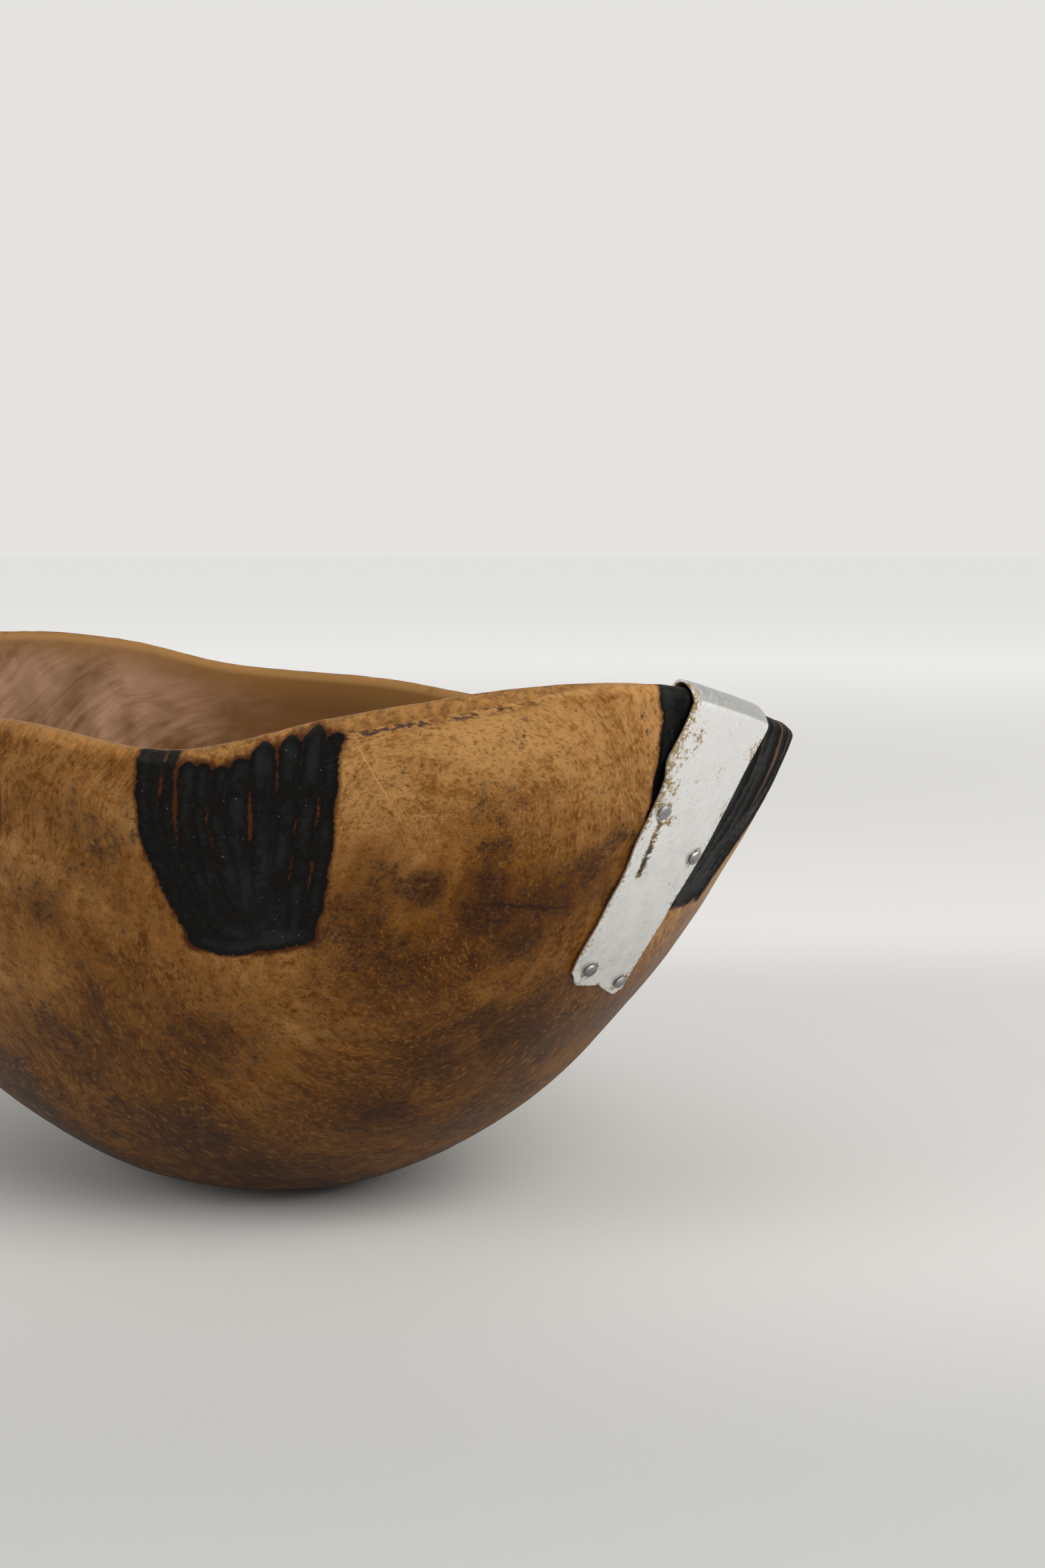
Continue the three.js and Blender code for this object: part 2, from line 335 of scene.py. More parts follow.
def add_field(made, name, values):
    """A number at each of an object's points, for its material to read."""
    field = made.data.attributes.new(name, "FLOAT", "POINT")
    field.data.foreach_set("value", np.asarray(values, np.float32))


def grid_faces(rows, columns, wrap):
    """The faces of a grid of points stored row by row; wrap joins the last column to the first."""
    steps = columns if wrap else columns - 1
    row, column = np.meshgrid(np.arange(rows - 1), np.arange(steps), indexing="ij")
    beside = (column + 1) % columns
    corners = [row * columns + column, row * columns + beside]
    corners += [(row + 1) * columns + beside, (row + 1) * columns + column]
    return np.stack([corner.ravel() for corner in corners], -1)


# The spacing of the bowl's columns in millimetres: across the two patches that the photo shows, across
# the others, and between them. The mouth's mean radius turns it into angles.
SPACING_SHOWN = 0.62
SPACING_BURNT = 1.15
SPACING_PLAIN = 3.0
MOUTH_RADIUS = 140


def column_angles():
    """Angles of the bowl's columns, closer together across the burnt patches."""
    fine = np.radians(np.linspace(0, 360, 7201))
    spacing = np.full(fine.shape, SPACING_PLAIN)
    for index, (centre, size, spread, *_) in enumerate(PATCHES):
        gap = np.abs(across_from(math.radians(centre), fine, 100 + 0 * fine)) * 1.18
        wanted = SPACING_SHOWN if index < 2 else SPACING_BURNT
        leaving = ease(25 * size * spread, 31 * size * spread, gap)
        spacing = np.minimum(spacing, wanted + (SPACING_PLAIN - wanted) * leaving)
    rate = np.interp(fine, ANGLES, ROUND_RATE) * MOUTH_RADIUS / spacing
    count = np.concatenate([[0], np.cumsum((rate[1:] + rate[:-1]) / 2 * (fine[1] - fine[0]))])
    columns = int(count[-1])
    return np.interp(np.arange(columns) * count[-1] / columns, count, fine)


# Rows of points: the outside's lower part and, from FINE_FROM of the way up, its upper part.
OUTER_COARSE = 54
OUTER_FINE = 60
FINE_FROM = 0.7
LIP_RINGS = 10
INNER_RINGS = 38

# How wide the pared and worn bevel along the outer edge of the rim is, by angle in degrees.
BEVEL_WIDTHS = [
    (0, -0.8), (14, -0.8), (40, -0.6), (75, 2.4), (100, -0.4), (135, -0.6), (168, 2.0), (190, -0.4),
    (225, 0.8), (262, 1.6), (280, -0.6), (298, -0.5), (304, 1.8), (311, 3.2), (322, 3.6), (332, 2.9),
    (343, 0.6), (360, -0.8),
]
BEVEL_SLOPE = 0.45
BULGE = 2.0
# Stands for "not in the bevel" in the field of wear.
UNWORN = -9.0


def build_bowl(material):
    """The bowl as one closed grid: up the outside, over the lip and down the inside."""
    angles = column_angles()
    degrees = np.degrees(angles)
    shoulders = shoulder_height(angles)
    full_climb = climbed(shoulders)
    rows = np.concatenate([
        np.linspace(0, FINE_FROM, OUTER_COARSE, endpoint=False), np.linspace(FINE_FROM, 1, OUTER_FINE),
    ])
    outer_height = height_at(rows[:, None] * full_climb)
    outer_angle = np.broadcast_to(angles, outer_height.shape)
    outer = outer_point(outer_angle, outer_height)
    _, outer_normal = wall_frame(outer_angle, outer_height)
    burn, between = burn_field(outer_angle.copy(), outer_height)
    flat_outer = outer.reshape(-1, 3)
    relief = 0.32 * lumps(flat_outer, 34, 1) + 0.12 * lumps(flat_outer, 11, 2)
    relief += 0.05 * lumps(flat_outer, 4, 3)
    relief = relief.reshape(burn.shape)
    relief -= BURN_DEPTH * (1 - np.exp(-np.maximum(burn, 0) / 0.9))
    relief += 0.30 * ease(-0.9, 0.9, between) * ease(1.4, 0.2, burn)
    relief += 0.12 * hump(burn, -0.5, 0.45) * ease(-1.0, -3.0, between)
    relief -= spot_field(DENTS, flat_outer).reshape(burn.shape)
    down = climbed(rim_height(outer_angle)) - climbed(outer_height)
    # Beside the strap the wall bulges a little towards the rim.
    bulge = ease(12, 22, degrees) * ease(60, 34, degrees)
    relief += BULGE * bulge * ease(62, 4, down)
    # The rim's outer edge is pared to a rough bevel.
    bevel = smooth(BEVEL_WIDTHS, degrees) + 0.25 * noise_line(angles * 9, 6)
    relief -= BEVEL_SLOPE * np.maximum(bevel - down, 0)
    # The foot stays flat, and the surface keeps clear of it near the floor.
    settle = ease(0, 6, outer_height)
    outer = outer + outer_normal * (relief * settle)[..., None]

    climb, normal = wall_frame(angles, shoulders)
    base = outer_point(angles, shoulders)
    lip_turns = np.pi * np.arange(1, LIP_RINGS)[:, None] / LIP_RINGS
    lip_rise = LIP * np.sin(lip_turns)
    lip_out = RIM_WALL / 2 * np.cos(lip_turns) - RIM_WALL / 2
    lip_heights = height_at(full_climb + lip_rise)
    lip = base + normal * lip_out[..., None] + climb * lip_rise[..., None]
    flat_lip = lip.reshape(-1, 3)
    lip_relief = 0.16 * lumps(flat_lip, 9, 4) + 0.1 * lumps(flat_lip, 3, 5)
    lip_relief = lip_relief.reshape(lip.shape[:2]) * np.sin(lip_turns)
    lip = lip + climb * lip_relief[..., None]
    # What the outside's last row was moved by dies away over the lip.
    carried = relief[-1] * settle[-1] * (1 + np.cos(lip_turns)) / 2
    lip = lip + normal * carried[..., None]

    inner_climb = np.linspace(1, 0.05, INNER_RINGS)[:, None] * full_climb
    inner_height = height_at(inner_climb)
    inner_angle = np.broadcast_to(angles, inner_height.shape)
    _, inner_normal = wall_frame(inner_angle, inner_height)
    thickness = wall_thickness(inner_angle, inner_height)
    inner = outer_point(inner_angle, inner_height) - inner_normal * thickness[..., None]
    gouge = 0.35 * lumps(inner, 26, 6) + 0.12 * lumps(inner, 9, 7)
    inner_down = full_climb - inner_climb
    gouge = gouge.reshape(inner_height.shape) * ease(0, 8, inner_down)
    inner = inner + inner_normal * gouge[..., None]

    grid = np.concatenate([outer, lip, inner])
    columns = len(angles)
    points = np.concatenate([grid.reshape(-1, 3), [[0, 0, 0], [0, 0, FLOOR_WALL]]])
    faces = grid_faces(len(grid), columns, True).tolist()
    foot = len(points) - 2
    last = (len(grid) - 1) * columns
    for i in range(columns):
        beside = (i + 1) % columns
        faces.append([foot, beside, i])
        faces.append([foot + 1, last + i, last + beside])
    made = mesh_object("carved_bowl", points, faces, material)

    on_outer = slice(0, len(outer))
    on_lip = slice(len(outer), len(outer) + len(lip))
    on_inner = slice(len(outer) + len(lip), len(grid))
    over_lip = np.linspace(0, 1, len(lip) + 2)[1:-1, None]
    outside = np.zeros(grid.shape[:2])
    outside[on_outer] = 1
    outside[on_lip] = 1 - over_lip
    # How far inside the bevel a point of the rim is; the lip itself belongs to it.
    worn = np.full(grid.shape[:2], UNWORN)
    worn[on_outer] = np.maximum(bevel - down, UNWORN)
    worn[on_lip] = bevel - (climbed(rim_height(angles)) - climbed(lip_heights))
    worn[on_inner] = -3
    # Distance down from the crest of the lip, outside and inside alike.
    crest_gap = np.zeros(grid.shape[:2])
    crest_gap[on_outer] = down + 0.5
    crest_gap[on_lip] = np.abs(7 * over_lip - 3.5)
    crest_gap[on_inner] = inner_down + 3.5
    # The burn stops a little way over the lip.
    burnt = np.full(grid.shape[:2], FAR_OUT)
    second = burnt.copy()
    lip_burn, lip_between = burn_field(np.broadcast_to(angles, lip_heights.shape).copy(), lip_heights)
    over = 2.2 * np.maximum(np.arange(1, LIP_RINGS) - LIP_RINGS / 2, 0)[:, None]
    burnt[on_outer] = burn
    burnt[on_lip] = lip_burn - over
    second[on_outer] = between
    second[on_lip] = lip_between - over
    pitted = ease(305, 314, degrees) * ease(341, 330, degrees)
    pitted += 0.35 * ease(60, 75, degrees) * ease(100, 85, degrees)
    stains = spot_field(STAINS, grid.reshape(-1, 3)).reshape(outside.shape)
    # Each field with its value under the foot; in the middle of the bowl's floor it is 0.
    fields = [
        ("outside", outside, 1), ("crest_gap", crest_gap, 150), ("burn", burnt, FAR_OUT),
        ("worn", worn, UNWORN), ("between", second, FAR_OUT), ("stain", stains, 0.3),
        ("pitted", np.broadcast_to(pitted, outside.shape), 0),
    ]
    for name, values, at_foot in fields:
        add_field(made, name, np.concatenate([np.maximum(values, UNWORN).ravel(), [at_foot, 0]]))
    return made


# ---------------- the strap

SHEET = 0.8
SEAT = 0.5
FOLD_RISE = [(0, 0.35), (0.3, 0.2), (1, 0.5)]
# The fold rises from a crease on the outside to a rounded ridge over the inside. Both are by fraction of
# the way over: out from the middle of the wall, as a part of its half thickness, and up, as a part of
# the fold's height.
FOLD_OUT = [(0, 1), (0.12, 0.94), (0.4, 0.5), (0.65, -0.12), (0.8, -0.65), (0.92, -0.97), (1, -1)]
FOLD_UP = [(0, 0), (0.12, 0.2), (0.4, 0.72), (0.65, 1.0), (0.8, 0.86), (0.92, 0.35), (1, 0)]
# The sheet's left and right edges, by fraction of the way down a leg, as y in millimetres.
STRAP_LEFT = [
    (0, -14.2), (0.06, -15.2), (0.15, -17.6), (0.2, -18.5), (0.27, -17.4), (0.4, -17.9), (0.5, -18.3),
    (0.62, -17.7), (0.75, -18.5), (0.9, -19.2), (1, -18.5),
]
STRAP_RIGHT = [(0, 21), (0.14, 15.5), (0.3, 12.5), (0.5, 9.8), (0.7, 6.5), (0.87, 5.2), (1, 6.5)]
# The height of each leg's free end at its left and right edge.
OUTER_END = (75.5, 68)
INNER_END = (70, 64)
# Nominal width and leg length, for the distance to the nearest edge.
STRAP_WIDTH = 24
LEG_LENGTH = 74
# Where each rivet sits, as y and height on the outside.
RIVETS = [(-13.6, 118.5), (6.6, 105), (-13, 78), (2.6, 72.5)]

# Steps of the grid across the sheet, down a leg and over the fold.
STRAP_ACROSS = 44
STRAP_LEG = 100
STRAP_FOLD = 26


def angle_at(y, height):
    """The angle at which the outside has a given y, on the side towards +X."""
    return np.arcsin(y / (WIDTH_STRETCH * smooth(OUTER_PROFILE, height)))


def rivet_frames():
    """Each rivet's outer seat, inner seat and outward direction."""
    frames = []
    for y, height in RIVETS:
        height = np.array(float(height))
        angle = angle_at(y, height)
        _, normal = wall_frame(angle, height)
        spot = outer_point(angle, height)
        outer = spot + normal * (SEAT + SHEET)
        inner = spot - normal * (wall_thickness(angle, height) + SEAT + SHEET)
        frames.append((outer, inner, normal))
    return frames


def split_ends(height):
    """1 beside the split in the sheet, 0 above and below it."""
    return ease(100, 103, height) * ease(117.5, 115.5, height)


def build_strap(material):
    """A thin sheet over the rim: its bare side, its wood side and the cut edges between them."""
    across = np.linspace(0, 1, STRAP_ACROSS + 1)[:, None]
    sideways = across[:, 0]
    fold_y = STRAP_LEFT[0][1] + (STRAP_RIGHT[0][1] - STRAP_LEFT[0][1]) * sideways
    fold_angle = angle_at(fold_y, rim_height(np.array(0.0)))
    shoulder = shoulder_height(fold_angle)[:, None]
    along = np.linspace(0, 1, STRAP_LEG + 1)[1:]
    seats = [outer_seat for outer_seat, _, _ in rivet_frames()]

    def leg(ends, inside):
        """A leg's points on the wood, the way out of the wood there, and how far the sheet lifts."""
        left = smooth(STRAP_LEFT, along) + 0.45 * noise_line(along * 9, 3) * ease(0, 0.1, along)
        right = smooth(STRAP_RIGHT, along) + 0.5 * noise_line(along * 8, 8)
        # The free end is cut round each of its two rivets.
        hem = 1.6 * np.abs(np.cos(np.pi * sideways)) ** 0.7 - 1.3
        corner = 2.6 * ease(0.16, 0, sideways) + 2.0 * ease(0.88, 1, sideways)
        end = ends[0] + (ends[1] - ends[0]) * sideways - hem + corner
        height = shoulder + (end[:, None] - shoulder) * along
        y = left + (right - left) * across
        angle = angle_at(y, height)
        _, normal = wall_frame(angle, height)
        # The sheet is beaten down at the rivets and buckles a little between them.
        spots = outer_point(angle, height)
        lift = 0.22 * lumps(spots, 15, 21) + 0.06 * lumps(spots, 5, 22)
        lift = lift.reshape(height.shape) + 0.28 * ease(0.16, 0, across) * ease(0, 0.15, along)
        for seat in seats:
            gap = np.linalg.norm(spots - seat, axis=-1)
            lift = lift * ease(1.5, 4.5, gap) - 0.22 * hump(gap, 2.3, 1.2)
        lift = np.clip(lift - 0.3 * hump(y, -13.1, 0.6) * split_ends(height), -0.42, 0.9)
        if inside:
            return spots - normal * wall_thickness(angle, height)[..., None], -normal, lift
        return spots, normal, lift

    outer_base, outer_out, outer_lift = leg(OUTER_END, False)
    inner_base, inner_out, inner_lift = leg(INNER_END, True)
    climb, normal = wall_frame(fold_angle, shoulder[:, 0])
    crest = outer_point(fold_angle, shoulder[:, 0]) - normal * RIM_WALL / 2
    rise = smooth(FOLD_RISE, sideways)
    sides = []
    for off in (SEAT + SHEET, SEAT):
        fold = []
        half = RIM_WALL / 2 + off
        top = LIP + off + rise + 0.2 * lumps(crest, 9, 24)
        for step in range(STRAP_FOLD + 1):
            place = step / STRAP_FOLD
            out = half * smooth(FOLD_OUT, place)
            fold.append(crest + normal * out + climb * (top * smooth(FOLD_UP, place))[:, None])
        fold = np.array(fold).transpose(1, 0, 2)
        outer_leg = outer_base + outer_out * (off + outer_lift)[..., None]
        inner_leg = inner_base + inner_out * (off + inner_lift)[..., None]
        sides.append(np.concatenate([outer_leg[:, ::-1], fold, inner_leg], axis=1)[::-1])
    rows, columns = sides[0].shape[:2]
    points = np.concatenate([sides[0].reshape(-1, 3), sides[1].reshape(-1, 3)])
    bare = grid_faces(rows, columns, False)
    under = rows * columns
    faces = np.concatenate([bare, bare[:, ::-1] + under]).tolist()
    border = list(range(columns))
    border += [row * columns + columns - 1 for row in range(1, rows)]
    border += [(rows - 1) * columns + i for i in range(columns - 2, -1, -1)]
    border += [row * columns for row in range(rows - 2, 0, -1)]
    for a, b in zip(border, border[1:] + border[:1]):
        faces.append([b, a, a + under, b + under])
    made = mesh_object("folded_strap", points, faces, material)
    from_end = (1 - along) * LEG_LENGTH
    to_end = np.concatenate([from_end[::-1], np.full(STRAP_FOLD + 1, LEG_LENGTH), from_end])
    edge_gap = np.minimum(np.minimum(across, 1 - across) * STRAP_WIDTH, to_end)[::-1].ravel()
    add_field(made, "edge_gap", np.concatenate([edge_gap, edge_gap]))
    # Grime lies along the left edge above the first rivet and down a split below it; the dark ring round
    # each rivet is tarnish and painted shade at the edge of the head.
    y, z = points[:, 1], points[:, 2]
    sway = 0.06 * (108 - z) + 0.9 * noise_line(z * 0.35, 12)
    split = hump(y, -13.2 + sway, 1.4) * split_ends(z)
    marks = [
        0.52 * ease(-8.0, -14.5, y) * ease(112, 122, z) * ease(149, 142, z),
        0.55 * hump(y, -11, 3.2) * hump(z, 135, 4),
        0.5 * hump(y, 15.5, 2) * hump(z, 131, 4),
        1.25 * split,
        hump(y, -11, 2.6) * hump(z, 115.6, 1.7),
    ]
    # Each ring round a rivet seat darkens the sheet: tarnish and painted shade at the head's edge.
    for seat in seats:
        marks.append(0.85 * hump(np.linalg.norm(points - seat, axis=-1), 2.2, 0.8))
    add_field(made, "grime", np.max(marks, axis=0))
    # Painted shade: the top of the fold, which faces up and away, is greyed.
    places = np.concatenate([np.zeros(STRAP_LEG), np.linspace(0, 1, STRAP_FOLD + 1), np.zeros(STRAP_LEG)])
    over = ease(0.06, 0.16, places) * ease(1.0, 0.8, places)
    over = np.broadcast_to(over, (rows, columns)).ravel()
    add_field(made, "fold", np.concatenate([over, over]))
    add_field(made, "split", split)
    bevel = made.modifiers.new("soft_edges", "BEVEL")
    bevel.width = 0.16 * MM
    bevel.segments = 2
    bevel.limit_method = "ANGLE"
    bevel.angle_limit = math.radians(50)
    return made


# ---------------- the rivets

RIVET_TURNS = 28
SHANK_RADIUS = 1.0
HEAD_RADIUS = 1.9
HEAD_HEIGHT = 1.1
INNER_HEAD_HEIGHT = 0.8
# A head's dome as parts of its radius and of its height.
HEAD_PROFILE = [(1.0, 0.0), (1.03, 0.16), (1.0, 0.36), (0.9, 0.6), (0.72, 0.8), (0.48, 0.93), (0.22, 0.99)]


def build_rivet(index, seats, material):
    """A soft pin hammered over at both ends: a domed head outside and a flatter one inside."""
    outer, inner, normal = seats
    side = unit(np.cross(normal, [0, 0, 1.0]))
    other = np.cross(normal, side)
    points = []

    def ring(middle, radius, height, wobble, seed):
        for i in range(RIVET_TURNS):
            turn = 2 * math.pi * i / RIVET_TURNS
            uneven = 1 + wobble * noise.noise(Vector((math.cos(turn), math.sin(turn), seed)))
            arm = side * math.cos(turn) + other * math.sin(turn)
            points.append(middle + arm * radius * uneven + normal * height)

    def head(seat, outwards, height, seed):
        ring(seat, SHANK_RADIUS, 0.0, 0, 0)
        for radius, rise in HEAD_PROFILE:
            ring(seat, HEAD_RADIUS * radius, outwards * rise * height, 0.14, seed)
        points.append(seat + normal * outwards * height)

    head(outer, 1, HEAD_HEIGHT, index * 3.1)
    head(inner, -1, INNER_HEAD_HEIGHT, index * 5.7 + 2)

    rings = len(HEAD_PROFILE) + 1
    under = rings * RIVET_TURNS + 1
    faces = []
    for start, flip in ((0, False), (under, True)):
        block = grid_faces(rings, RIVET_TURNS, True) + start
        top = start + rings * RIVET_TURNS
        last = top - RIVET_TURNS
        cap = [[last + i, last + (i + 1) % RIVET_TURNS, top] for i in range(RIVET_TURNS)]
        block = block.tolist() + cap
        faces += [face[::-1] for face in block] if flip else block
    for i in range(RIVET_TURNS):
        beside = (i + 1) % RIVET_TURNS
        faces.append([beside, i, under + i, under + beside])
    return mesh_object(f"hammered_rivet_{index}", points, faces, material)


# ---------------- material helpers

class Shader:
    """Short names for the nodes that the materials are built from."""

    def __init__(self, name):
        self.material = bpy.data.materials.new(name)
        self.material.use_nodes = True
        self.tree = self.material.node_tree
        self.surface = self.tree.nodes["Principled BSDF"]

    def put(self, socket, value):
        if isinstance(value, bpy.types.NodeSocket):
            self.tree.links.new(value, socket)
        else:
            socket.default_value = value

    def set(self, name, value):
        self.put(self.surface.inputs[name], value)

    def node(self, kind, *values):
        """A new node, with its first inputs filled in turn."""
        made = self.tree.nodes.new("ShaderNode" + kind)
        for socket, value in zip(made.inputs, values):
            self.put(socket, value)
        return made

    def fill(self, node, **values):
        for name, value in values.items():
            self.put(node.inputs[name], value)

    def place(self):
        """The point in millimetres, in the object's frame."""
        return self.scaled(self.node("TexCoord").outputs["Object"], 1 / MM)

    def field(self, name):
        """A number that the mesh carries at each point."""
        node = self.node("Attribute")
        node.attribute_name = name
        return node.outputs["Fac"]

    def scaled(self, vector, amount):
        node = self.node("VectorMath", vector)
        node.operation = "SCALE"
        self.fill(node, Scale=amount)
        return node.outputs[0]

    def vector(self, operation, a, b):
        node = self.node("VectorMath", a, b)
        node.operation = operation
        return node.outputs["Value" if operation in ("DOT_PRODUCT", "LENGTH") else "Vector"]

    def math(self, operation, a, b=0.0, clamp=False):
        node = self.node("Math", a, b)
        node.operation = operation
        node.use_clamp = clamp
        return node.outputs[0]

    def plus(self, total, *parts):
        for part in parts:
            total = self.math("ADD", total, part)
        return total

    def times(self, total, *parts):
        for part in parts:
            total = self.math("MULTIPLY", total, part)
        return total

    def minus(self, a, b):
        return self.math("SUBTRACT", a, b)

    def split(self, vector):
        return list(self.node("SeparateXYZ", vector).outputs)

    def join(self, x, y, z):
        return self.node("CombineXYZ", x, y, z).outputs[0]

    def noise(self, place, scale, detail=3.0, roughness=0.55, distortion=0.0, output="Fac"):
        node = self.node("TexNoise")
        self.fill(node, Vector=place, Scale=scale, Detail=detail, Roughness=roughness, Distortion=distortion)
        return node.outputs[output]

    def cells(self, place, scale):
        """Distance from the middle of the nearest of some scattered cells."""
        node = self.node("TexVoronoi")
        self.fill(node, Vector=place, Scale=scale)
        return node.outputs["Distance"]

    def span(self, value, low, high, start=0.0, end=1.0):
        """value from low to high, turned smoothly into start to end."""
        node = self.node("MapRange", value, low, high, start, end)
        node.interpolation_type = "SMOOTHSTEP"
        return node.outputs["Result"]

    def ramp(self, value, stops):
        """A colour by value; stops are (position, (r, g, b))."""
        node = self.node("ValToRGB", value)
        elements = node.color_ramp.elements
        while len(elements) < len(stops):
            elements.new(1)
        for element, (position, colour) in zip(elements, stops):
            element.position = position
            element.color = (*colour, 1)
        return node.outputs[0]

    def mix(self, amount, a, b):
        """A colour between a and b."""
        node = self.node("Mix", amount)
        node.data_type = "RGBA"
        for socket, colour in zip(node.inputs[6:8], (a, b)):
            self.put(socket, (*colour, 1) if isinstance(colour, tuple) else colour)
        return node.outputs[2]

    def blend(self, amount, a, b):
        """A number between a and b."""
        node = self.node("Mix", amount)
        node.data_type = "FLOAT"
        self.put(node.inputs[2], a)
        self.put(node.inputs[3], b)
        return node.outputs[0]

    def bump(self, height, distance, strength=1.0, below=None):
        """A normal from a height; distance is in millimetres, and below is a normal to start from."""
        node = self.node("Bump")
        self.fill(node, Strength=strength, Distance=distance * MM, Height=height)
        if below is not None:
            self.fill(node, Normal=below)
        return node.outputs[0]

    def segment(self, place, start, end, width, feather):
        """1 along a straight mark between two points of the wall, fading out to its sides and ends."""
        start, end = Vector(start), Vector(end)
        run = (end - start).normalized()
        out = Vector((start.x, start.y, 0)).normalized()
        side = run.cross(out).normalized()
        offset = self.vector("SUBTRACT", place, tuple(start))
        wave = self.times(self.minus(self.noise(place, 0.25, 2), 0.5), feather)
        gap = self.plus(self.vector("DOT_PRODUCT", offset, tuple(side)), wave)
        along = self.vector("DOT_PRODUCT", offset, tuple(run))
        length = (end - start).length
        line = self.span(self.math("ABSOLUTE", gap), width, width * 0.3)
        rise = self.span(along, 0, length * 0.2)
        fall = self.span(along, length, length * 0.8)
        depth = self.vector("DOT_PRODUCT", offset, tuple(out))
        near = self.span(self.math("ABSOLUTE", depth), 30, 20)
        return self.times(line, near, rise, fall)


# ---------------- wood

# The log's pith enters the wall at the dark knot and leaves it on the far side. Growth rings are
# cylinders round it, so they show as circles round the knot and as long lines along the sides.
KNOT = (124.0, -63.0, 103.0)
PITH = Vector((0.80, -0.56, 0.20)).normalized()
ACROSS_PITH = PITH.cross(Vector((0, 0, 1))).normalized()
UP_PITH = ACROSS_PITH.cross(PITH).normalized()

WOOD_DARK = (0.028, 0.0090, 0.0016)
WOOD_MID = (0.105, 0.037, 0.0042)
WOOD_LIGHT = (0.200, 0.086, 0.021)
WOOD_PALE = (0.36, 0.188, 0.064)
WOOD_GOLD = (0.225, 0.105, 0.028)
LIP_BROWN = (0.09, 0.038, 0.010)
STAIN = (0.019, 0.0066, 0.0038)
CHAR = (0.0026, 0.0025, 0.0026)
# The grey of ash on the char, which also serves as painted sheen.
CHAR_ASH_AND_SHEEN = (0.019, 0.0215, 0.0245)
SCORCH = (0.045, 0.0095, 0.0015)
UNBURNT_RIDGE = (0.045, 0.0110, 0.0022)
INSIDE_PALE_PINK = (0.245, 0.138, 0.087)
INSIDE_BROWN = (0.068, 0.026, 0.0036)
INSIDE_RIM = (0.125, 0.056, 0.012)
INSIDE_CREST = (0.215, 0.112, 0.036)
FLECK = (0.25, 0.110, 0.027)
GOLD_PATCH = (0.195, 0.080, 0.0115)
PIT = (0.022, 0.012, 0.016)
SCRATCH = (0.50, 0.22, 0.07)
CRUMB = (0.20, 0.20, 0.18)


